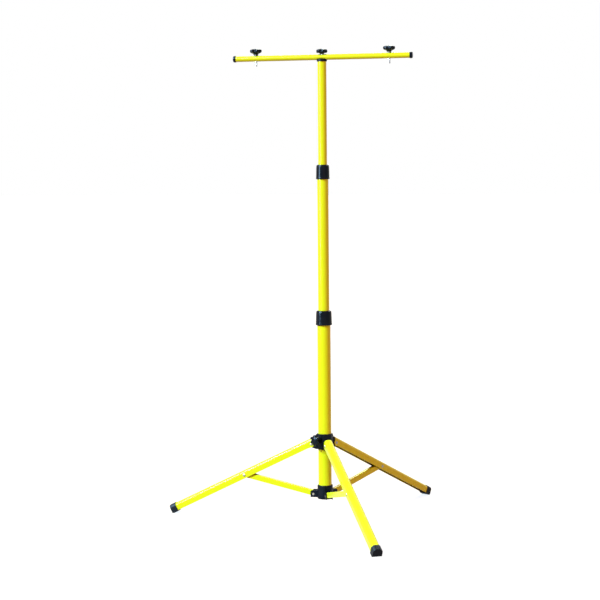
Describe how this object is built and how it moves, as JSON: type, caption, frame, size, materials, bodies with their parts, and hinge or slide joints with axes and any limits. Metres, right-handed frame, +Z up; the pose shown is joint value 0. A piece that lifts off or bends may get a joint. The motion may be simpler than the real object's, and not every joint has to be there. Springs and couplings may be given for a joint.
{
  "type": "lighting tripod stand with t bar",
  "caption": "Telescopic tripod stand with folding channel legs, twist-lock collars and a round T bar that holds work lamps with lobed clamp knobs.",
  "frame": {"origin": "on the floor, midway between the farthest foot cap and the T bar's far end along X; the mast axis stands 0.105 m along +X from it", "axes": "+Z up along the mast, X along the T bar with the left leg towards -X, feet on Z 0"},
  "size_m": [0.7269, 0.8212, 1.3467],
  "materials": {
    "mast_paint": "smooth yellow powder coat, satin to semi-gloss",
    "bar_paint": "smooth yellow powder coat, satin to semi-gloss",
    "leg_paint": "smooth yellow powder coat, satin to semi-gloss",
    "brace_paint": "smooth yellow powder coat, satin to semi-gloss",
    "hub_plastic": "black moulded nylon, low sheen",
    "collar_plastic": "black moulded nylon, semi-gloss",
    "knob_plastic": "black moulded plastic, semi-gloss",
    "bar_plastic": "black moulded plastic, low sheen",
    "inner_plastic": "black acetal, hidden inside the tubes",
    "foot_rubber": "black rubber, matt",
    "inner_rubber": "black rubber, hidden",
    "screw_zinc": "bright zinc plate",
    "rivet_steel": "bright nickel plate"
  },
  "bodies": {
    "mast_foot": {"lower_tube": "mast_paint", "brace_collar": "hub_plastic", "collar_screw": "screw_zinc", "lower_tube_bumper": "inner_rubber", "lower_collet": "inner_plastic", "left_lug_rivet_left": "rivet_steel", "left_lug_rivet_right": "rivet_steel", "front_lug_rivet_left": "rivet_steel", "front_lug_rivet_right": "rivet_steel", "rear_lug_rivet_left": "rivet_steel", "rear_lug_rivet_right": "rivet_steel"},
    "hub": {"leg_hub": "hub_plastic", "hub_nut": "screw_zinc"},
    "clamp_pad": {"hub_pressure_pad": "inner_rubber"},
    "clamp_knob": {"hub_knob": "knob_plastic", "hub_knob_screw": "screw_zinc"},
    "left_leg_set": {"left_leg": "leg_paint", "left_foot_cap": "foot_rubber", "left_hub_rivet": "rivet_steel", "left_brace_rivet": "rivet_steel"},
    "left_brace_set": {"left_brace": "brace_paint", "left_brace_pin": "rivet_steel"},
    "front_leg_set": {"front_leg": "leg_paint", "front_foot_cap": "foot_rubber", "front_hub_rivet": "rivet_steel", "front_brace_rivet": "rivet_steel"},
    "front_brace_set": {"front_brace": "brace_paint", "front_brace_pin": "rivet_steel"},
    "rear_leg_set": {"rear_leg": "leg_paint", "rear_foot_cap": "foot_rubber", "rear_hub_rivet": "rivet_steel", "rear_brace_rivet": "rivet_steel"},
    "rear_brace_set": {"rear_brace": "brace_paint", "rear_brace_pin": "rivet_steel"},
    "lower_twist": {"lower_twist_collar": "collar_plastic"},
    "mid_runner": {"mid_guide_bush": "inner_plastic"},
    "mid_section": {"mid_tube": "mast_paint", "upper_collet": "inner_plastic"},
    "upper_twist": {"upper_twist_collar": "collar_plastic"},
    "top_runner": {"top_guide_bush": "inner_plastic"},
    "top_section": {"top_tube": "mast_paint", "bar_saddle": "bar_plastic", "saddle_nut": "screw_zinc", "cross_bar": "bar_paint", "left_bar_cap": "bar_plastic", "right_bar_cap": "bar_plastic", "left_lamp_insert": "screw_zinc", "right_lamp_insert": "screw_zinc"},
    "centre_washer_set": {"centre_washer": "screw_zinc"},
    "centre_knob_set": {"centre_knob": "knob_plastic", "centre_screw": "screw_zinc"},
    "left_lamp_washer_set": {"left_lamp_washer": "screw_zinc"},
    "left_lamp_knob_set": {"left_lamp_knob": "knob_plastic", "left_lamp_screw": "screw_zinc"},
    "right_lamp_washer_set": {"right_lamp_washer": "screw_zinc"},
    "right_lamp_knob_set": {"right_lamp_knob": "knob_plastic", "right_lamp_screw": "screw_zinc"}
  },
  "joints": [
    {"name": "fold", "type": "slide", "parent": "mast_foot", "child": "hub", "axis": [0, 0, 1], "range_m": [0, 0.28983]},
    {"name": "hub_clamp_lift", "type": "slide", "parent": "hub", "child": "clamp_pad", "axis": [-0.5, -0.866, 0], "range_m": [0, 0.0025]},
    {"name": "hub_clamp_turn", "type": "hinge", "parent": "clamp_pad", "child": "clamp_knob", "pos_m": [0.08793, -0.0297, 0.23431], "axis": [-0.5, -0.866, 0], "range_deg": [0, 720.5]},
    {"name": "left_leg_fold", "type": "hinge", "parent": "hub", "child": "left_leg_set", "pos_m": [0.06808, 0, 0.21871], "axis": [0, -1, 0], "range_deg": [0, 63.41]},
    {"name": "left_brace_fold", "type": "hinge", "parent": "left_leg_set", "child": "left_brace_set", "pos_m": [-0.13333, 0, 0.12065], "axis": [0, 1, 0], "range_deg": [0, 138.85]},
    {"name": "front_leg_fold", "type": "hinge", "parent": "hub", "child": "front_leg_set", "pos_m": [0.12358, -0.03204, 0.21871], "axis": [0.866, 0.5, 0], "range_deg": [0, 63.41]},
    {"name": "front_brace_fold", "type": "hinge", "parent": "front_leg_set", "child": "front_brace_set", "pos_m": [0.22429, -0.20647, 0.12065], "axis": [-0.866, -0.5, 0], "range_deg": [0, 138.85]},
    {"name": "rear_leg_fold", "type": "hinge", "parent": "hub", "child": "rear_leg_set", "pos_m": [0.12358, 0.03204, 0.21871], "axis": [-0.866, 0.5, 0], "range_deg": [0, 63.41]},
    {"name": "rear_brace_fold", "type": "hinge", "parent": "rear_leg_set", "child": "rear_brace_set", "pos_m": [0.22429, 0.20647, 0.12065], "axis": [0.866, -0.5, 0], "range_deg": [0, 138.85]},
    {"name": "lower_collar_twist", "type": "hinge", "parent": "mast_foot", "child": "lower_twist", "pos_m": [0.10508, 0, 0.576], "axis": [0, 0, 1], "range_deg": [0, 120]},
    {"name": "mid_slide", "type": "slide", "parent": "mast_foot", "child": "mid_runner", "axis": [0, 0, 1], "range_m": [-0.372, 0.059]},
    {"name": "mid_turn", "type": "hinge", "parent": "mid_runner", "child": "mid_section", "pos_m": [0.10508, 0, 0.48], "axis": [0, 0, 1], "continuous": true},
    {"name": "upper_collar_twist", "type": "hinge", "parent": "mid_section", "child": "upper_twist", "pos_m": [0.10508, 0, 0.991], "axis": [0, 0, 1], "range_deg": [0, 120]},
    {"name": "top_slide", "type": "slide", "parent": "mid_section", "child": "top_runner", "axis": [0, 0, 1], "range_m": [-0.289, 0.1285]},
    {"name": "top_turn", "type": "hinge", "parent": "top_runner", "child": "top_section", "pos_m": [0.10508, 0, 0.825], "axis": [0, 0, 1], "continuous": true},
    {"name": "centre_knob_lift", "type": "slide", "parent": "top_section", "child": "centre_washer_set", "axis": [0, 0, 1], "range_m": [0, 0.00375]},
    {"name": "centre_knob_turn", "type": "hinge", "parent": "centre_washer_set", "child": "centre_knob_set", "pos_m": [0.10508, 0, 1.3339], "axis": [0, 0, 1], "range_deg": [0, 1080.5]},
    {"name": "left_lamp_knob_lift", "type": "slide", "parent": "top_section", "child": "left_lamp_washer_set", "axis": [0, 0, 1], "range_m": [0, 0.005]},
    {"name": "left_lamp_knob_turn", "type": "hinge", "parent": "left_lamp_washer_set", "child": "left_lamp_knob_set", "pos_m": [-0.08692, 0, 1.3339], "axis": [0, 0, 1], "range_deg": [0, 1440.5]},
    {"name": "right_lamp_knob_lift", "type": "slide", "parent": "top_section", "child": "right_lamp_washer_set", "axis": [0, 0, 1], "range_m": [0, 0.005]},
    {"name": "right_lamp_knob_turn", "type": "hinge", "parent": "right_lamp_washer_set", "child": "right_lamp_knob_set", "pos_m": [0.29708, 0, 1.3339], "axis": [0, 0, 1], "range_deg": [0, 1440.5]}
  ],
  "couplings": [
    {"joint": "hub_clamp_turn", "follows": "hub_clamp_lift", "rad_per_m": 5026.5},
    {"joint": "left_leg_fold", "follows": "fold", "rad_per_m": 3.8179},
    {"joint": "left_brace_fold", "follows": "fold", "rad_per_m": 8.3606},
    {"joint": "front_leg_fold", "follows": "fold", "rad_per_m": 3.8179},
    {"joint": "front_brace_fold", "follows": "fold", "rad_per_m": 8.3606},
    {"joint": "rear_leg_fold", "follows": "fold", "rad_per_m": 3.8179},
    {"joint": "rear_brace_fold", "follows": "fold", "rad_per_m": 8.3606},
    {"joint": "centre_knob_turn", "follows": "centre_knob_lift", "rad_per_m": 5026.5},
    {"joint": "left_lamp_knob_turn", "follows": "left_lamp_knob_lift", "rad_per_m": 5026.5},
    {"joint": "right_lamp_knob_turn", "follows": "right_lamp_knob_lift", "rad_per_m": 5026.5}
  ]
}
